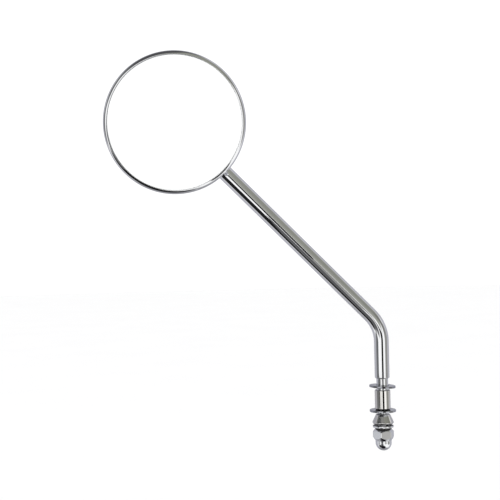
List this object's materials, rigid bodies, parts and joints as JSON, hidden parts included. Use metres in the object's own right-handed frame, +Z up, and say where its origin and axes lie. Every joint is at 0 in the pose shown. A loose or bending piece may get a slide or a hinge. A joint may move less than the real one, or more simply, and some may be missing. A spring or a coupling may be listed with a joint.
{
  "type": "handlebar mirror",
  "caption": "Round rear-view mirror on a bent bar stem, with a ball joint behind the head and a threaded stud carrying washers, a spacer, a tapered bushing and a domed nut.",
  "frame": {"origin": "on the mounting stud's axis, at the shoulder of the bar that seats on the lever perch", "axes": "+Z up along the stud, away from its threaded end; -Y towards the rider; the bar leans towards -X above the bend"},
  "size_m": [0.1895, 0.056, 0.2672],
  "materials": {
    "chrome_bar": "polished chrome plate",
    "chrome_shell": "polished chrome plate on spun sheet",
    "chrome_plate": "chrome plate on pressed sheet",
    "chrome_hardware": "chrome plate, lightly handled",
    "plated_steel": "bright zinc plate",
    "nylon": "natural nylon",
    "mirror_glass": "silvered glass",
    "vinyl": "black vinyl strip",
    "felt": "pressed felt"
  },
  "bodies": {
    "stem": {"stem": "chrome_bar", "clamp_plate_front": "chrome_plate", "clamp_plate_rear": "chrome_plate", "clamp_screws": "plated_steel", "clamp_washers": "plated_steel", "clamp_nuts": "plated_steel"},
    "seat": {"ball_seat_front": "nylon", "ball_seat_rear": "nylon"},
    "ball": {"ball_stud": "plated_steel", "stud_washer": "plated_steel", "stud_nut": "plated_steel"},
    "head": {"mirror_shell": "chrome_shell", "reinforcing_disc": "plated_steel", "backing_pad": "felt", "mirror_glass": "mirror_glass", "glass_gasket": "vinyl", "bezel_ring": "chrome_shell"},
    "lock_washer": {"lock_washer": "chrome_hardware"},
    "nut": {"acorn_nut": "chrome_hardware"},
    "bushing": {"tapered_bushing": "chrome_hardware"},
    "lower_washer": {"lower_washer": "chrome_hardware"},
    "sleeve": {"spacer_sleeve": "chrome_hardware"},
    "upper_washer": {"upper_washer": "chrome_hardware"}
  },
  "joints": [
    {"name": "head_pan", "type": "hinge", "parent": "stem", "child": "seat", "pos_m": [-0.13871, 0, 0.17774], "axis": [0, 0, 1], "range_deg": [-21, 7]},
    {"name": "head_lean", "type": "hinge", "parent": "seat", "child": "ball", "pos_m": [-0.13871, 0, 0.17774], "axis": [0.9925, 0.1219, 0], "range_deg": [-23.3, 4.7]},
    {"name": "head_spin", "type": "hinge", "parent": "ball", "child": "head", "pos_m": [-0.13871, 0, 0.17774], "axis": [0.1203, -0.9795, -0.1616], "continuous": true},
    {"name": "nut_travel", "type": "slide", "parent": "stem", "child": "lock_washer", "axis": [0, 0, -1], "range_m": [0, 0.00776]},
    {"name": "nut_turn", "type": "hinge", "parent": "lock_washer", "child": "nut", "pos_m": [0, 0, -0.0334], "axis": [0, 0, -1], "range_deg": [0, 1980]},
    {"name": "bushing_slide", "type": "slide", "parent": "lock_washer", "child": "bushing", "axis": [0, 0, 1], "range_m": [-0.00085, 0.001]},
    {"name": "lower_washer_slide", "type": "slide", "parent": "bushing", "child": "lower_washer", "axis": [0, 0, 1], "range_m": [-0.00185, 0.001]},
    {"name": "sleeve_slide", "type": "slide", "parent": "lower_washer", "child": "sleeve", "axis": [0, 0, 1], "range_m": [-0.00005, 0.001]},
    {"name": "upper_washer_slide", "type": "slide", "parent": "sleeve", "child": "upper_washer", "axis": [0, 0, 1], "range_m": [-0.0012, 0.0012]}
  ],
  "couplings": [
    {"joint": "nut_turn", "follows": "nut_travel", "rad_per_m": 4452.7}
  ]
}
